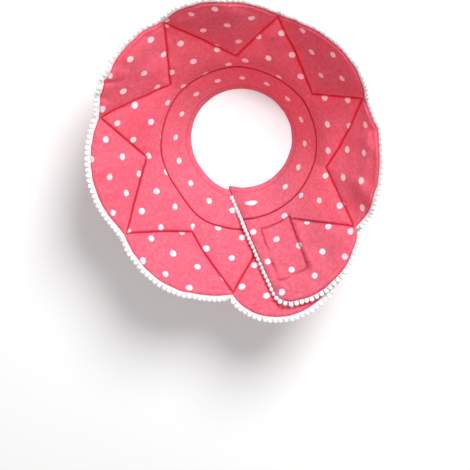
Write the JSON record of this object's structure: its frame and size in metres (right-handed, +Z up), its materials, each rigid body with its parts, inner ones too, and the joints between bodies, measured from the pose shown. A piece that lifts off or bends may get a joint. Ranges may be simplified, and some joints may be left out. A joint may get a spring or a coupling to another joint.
{
  "type": "soft recovery cone for a small pet",
  "caption": "Soft quilted fabric cone worn round a small pet's neck, with a plain neck band, an overlapping flap closure and pompom trim.",
  "frame": {"origin": "under the middle of the whole cone's box, in the plane that the neck edge stands on", "axes": "+Z up out of the mouth, along the cone's axis; +Y away from the flap, across the mouth's longest way; +X across the mouth"},
  "size_m": [0.2692, 0.298, 0.1118],
  "materials": {
    "coral_cotton": "matt plain-weave cotton with a white spot",
    "white_trim": "matt brushed cotton",
    "hook_and_loop": "matt"
  },
  "bodies": {
    "root": {"cone_panel": "coral_cotton", "neck_band": "coral_cotton", "closure_patch": "hook_and_loop", "pompom_trim": "white_trim"}
  },
  "joints": []
}
